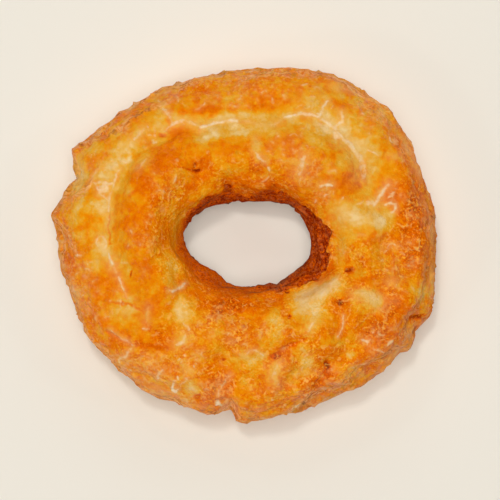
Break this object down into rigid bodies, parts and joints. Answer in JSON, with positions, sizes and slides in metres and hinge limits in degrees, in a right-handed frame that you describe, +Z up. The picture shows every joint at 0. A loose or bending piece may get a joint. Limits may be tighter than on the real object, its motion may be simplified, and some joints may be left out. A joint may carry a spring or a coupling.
{
  "type": "sour cream doughnut",
  "caption": "Ring-shaped fried cake doughnut with a craggy glazed crust, a cracked groove round its crown, torn rim petals and an oval hole.",
  "frame": {"origin": "middle of the bounding box's underside, on the surface that the doughnut rests on", "axes": "+X along the longest side, from the torn petals on the left to the plain round side; +Y across; +Z up through the hole"},
  "size_m": [0.09, 0.083, 0.028],
  "materials": {
    "crust": "satin"
  },
  "bodies": {
    "root": {"doughnut": "crust"}
  },
  "joints": []
}
